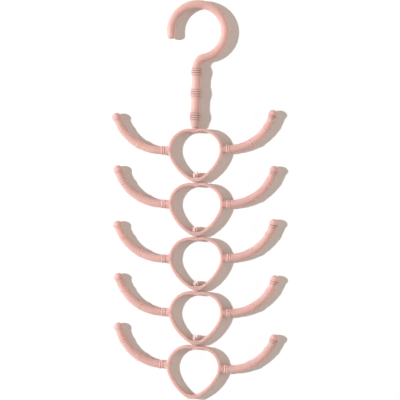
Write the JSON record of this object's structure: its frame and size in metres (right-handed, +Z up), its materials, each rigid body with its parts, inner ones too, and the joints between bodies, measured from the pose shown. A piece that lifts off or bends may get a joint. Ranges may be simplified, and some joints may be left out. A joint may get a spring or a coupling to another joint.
{
  "type": "scarf hanger",
  "caption": "Plastic hanger for scarves and ties: a closet hook on a bamboo-look shank over a chain of heart rings with upswept arms, each turning in the one above.",
  "frame": {"origin": "centre of the hook's eye, where the closet rod hangs it", "axes": "+Z up along the chain of tiers, +X to the right of the front view, -Y out of the front face"},
  "size_m": [0.1763, 0.012, 0.4209],
  "materials": {
    "plastic": "satin"
  },
  "bodies": {
    "hook": {"hook": "plastic"},
    "tier_1": {"tier_1": "plastic"},
    "tier_2": {"tier_2": "plastic"},
    "tier_3": {"tier_3": "plastic"},
    "tier_4": {"tier_4": "plastic"},
    "tier_5": {"tier_5": "plastic"}
  },
  "joints": [
    {"name": "tier_1_turn", "type": "hinge", "parent": "hook", "child": "tier_1", "pos_m": [-0.00329, 0, -0.09925], "axis": [-0.0192, 0, 0.9998], "continuous": true},
    {"name": "tier_2_turn", "type": "hinge", "parent": "tier_1", "child": "tier_2", "pos_m": [-0.00219, 0, -0.15651], "axis": [0.0035, 0, 1], "continuous": true},
    {"name": "tier_3_turn", "type": "hinge", "parent": "tier_2", "child": "tier_3", "pos_m": [-0.00239, 0, -0.21378], "axis": [-0.0105, 0, 0.9999], "continuous": true},
    {"name": "tier_4_turn", "type": "hinge", "parent": "tier_3", "child": "tier_4", "pos_m": [-0.00179, 0, -0.27104], "axis": [0.0157, 0, 0.9999], "continuous": true},
    {"name": "tier_5_turn", "type": "hinge", "parent": "tier_4", "child": "tier_5", "pos_m": [-0.00269, 0, -0.32831], "axis": [0.0767, 0, 0.9971], "continuous": true}
  ]
}
